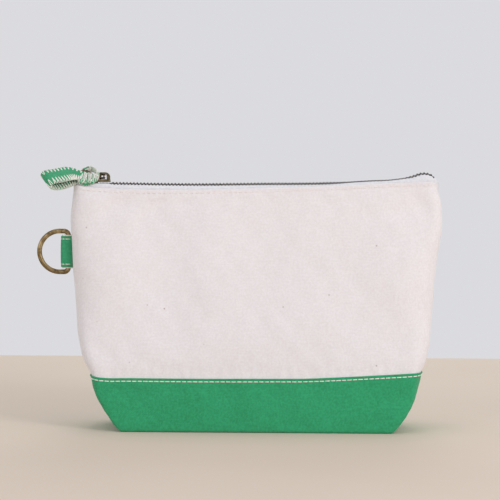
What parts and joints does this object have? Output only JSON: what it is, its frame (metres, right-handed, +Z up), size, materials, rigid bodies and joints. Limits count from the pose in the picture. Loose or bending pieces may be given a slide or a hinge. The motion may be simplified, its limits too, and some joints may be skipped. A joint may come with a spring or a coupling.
{
  "type": "zippered pouch",
  "caption": "Free-standing canvas pouch with boxed base corners, a metal zip along the top with a strap pull, and a D-ring on one side seam.",
  "frame": {"origin": "middle of the flat base, on the surface that the pouch stands on", "axes": "+X along the zip towards its open end, -Y the front, +Z up out of the base"},
  "size_m": [0.2826, 0.064, 0.1804],
  "materials": {
    "natural_canvas": "plain-weave cotton canvas, undyed",
    "green_canvas": "plain-weave cotton canvas, dyed green",
    "zip_tape": "pale woven tape",
    "green_tape": "woven cotton tape, green",
    "white_thread": "white sewing thread",
    "natural_thread": "thread in the canvas's own colour",
    "dark_brass": "dark antique brass",
    "antique_brass": "brushed antique brass"
  },
  "bodies": {
    "pouch": {"base_canvas": "green_canvas", "base_inner_canvas": "natural_canvas", "left_side_seam": "natural_canvas", "right_side_seam": "natural_canvas", "left_corner_seam": "natural_canvas", "right_corner_seam": "natural_canvas", "base_front_topstitch": "white_thread", "base_back_topstitch": "white_thread", "ring_tab_backing": "natural_canvas", "ring_tab_cover": "green_tape", "ring_tab_stitches": "white_thread"},
    "front_wall": {"front_canvas": "natural_canvas", "front_zip_tape": "zip_tape", "front_teeth": "dark_brass", "front_zip_topstitch": "natural_thread"},
    "back_wall": {"back_canvas": "natural_canvas", "back_zip_tape": "zip_tape", "back_teeth": "dark_brass", "back_zip_topstitch": "natural_thread"},
    "slider": {"slider_body": "dark_brass", "slider_bridge": "dark_brass"},
    "puller": {"puller_frame": "antique_brass"},
    "pull_loop": {"pull_strap": "green_tape", "pull_strap_edging": "white_thread"},
    "ring": {"d_ring": "antique_brass"}
  },
  "joints": [
    {"name": "slider_travel", "type": "slide", "parent": "pouch", "child": "slider", "axis": [0.9998, 0, 0.0174], "range_m": [0, 0.205], "deforming": ["front_teeth", "back_teeth", "front_zip_tape", "back_zip_tape"]},
    {"name": "front_mouth", "type": "hinge", "parent": "pouch", "child": "front_wall", "pos_m": [0, -0.02851, 0.037], "axis": [1, 0, 0], "range_deg": [0, 10]},
    {"name": "back_mouth", "type": "hinge", "parent": "pouch", "child": "back_wall", "pos_m": [0, 0.02851, 0.037], "axis": [-1, 0, 0], "range_deg": [0, 10]},
    {"name": "puller_swing", "type": "hinge", "parent": "slider", "child": "puller", "pos_m": [-0.10706, 0, 0.17533], "axis": [0, 1, 0], "range_deg": [0, 150]},
    {"name": "loop_swing", "type": "hinge", "parent": "puller", "child": "pull_loop", "pos_m": [-0.12376, 0, 0.17504], "axis": [-0.01, 0.8192, 0.5735], "range_deg": [0, 80]},
    {"name": "ring_swing", "type": "hinge", "parent": "pouch", "child": "ring", "pos_m": [-0.1317, 0, 0.1225], "axis": [0, 0, 1], "range_deg": [-90, 90]}
  ],
  "couplings": [
    {"joint": "front_mouth", "follows": "slider_travel", "rad_per_m": 0.85},
    {"joint": "back_mouth", "follows": "slider_travel", "rad_per_m": 0.85}
  ]
}
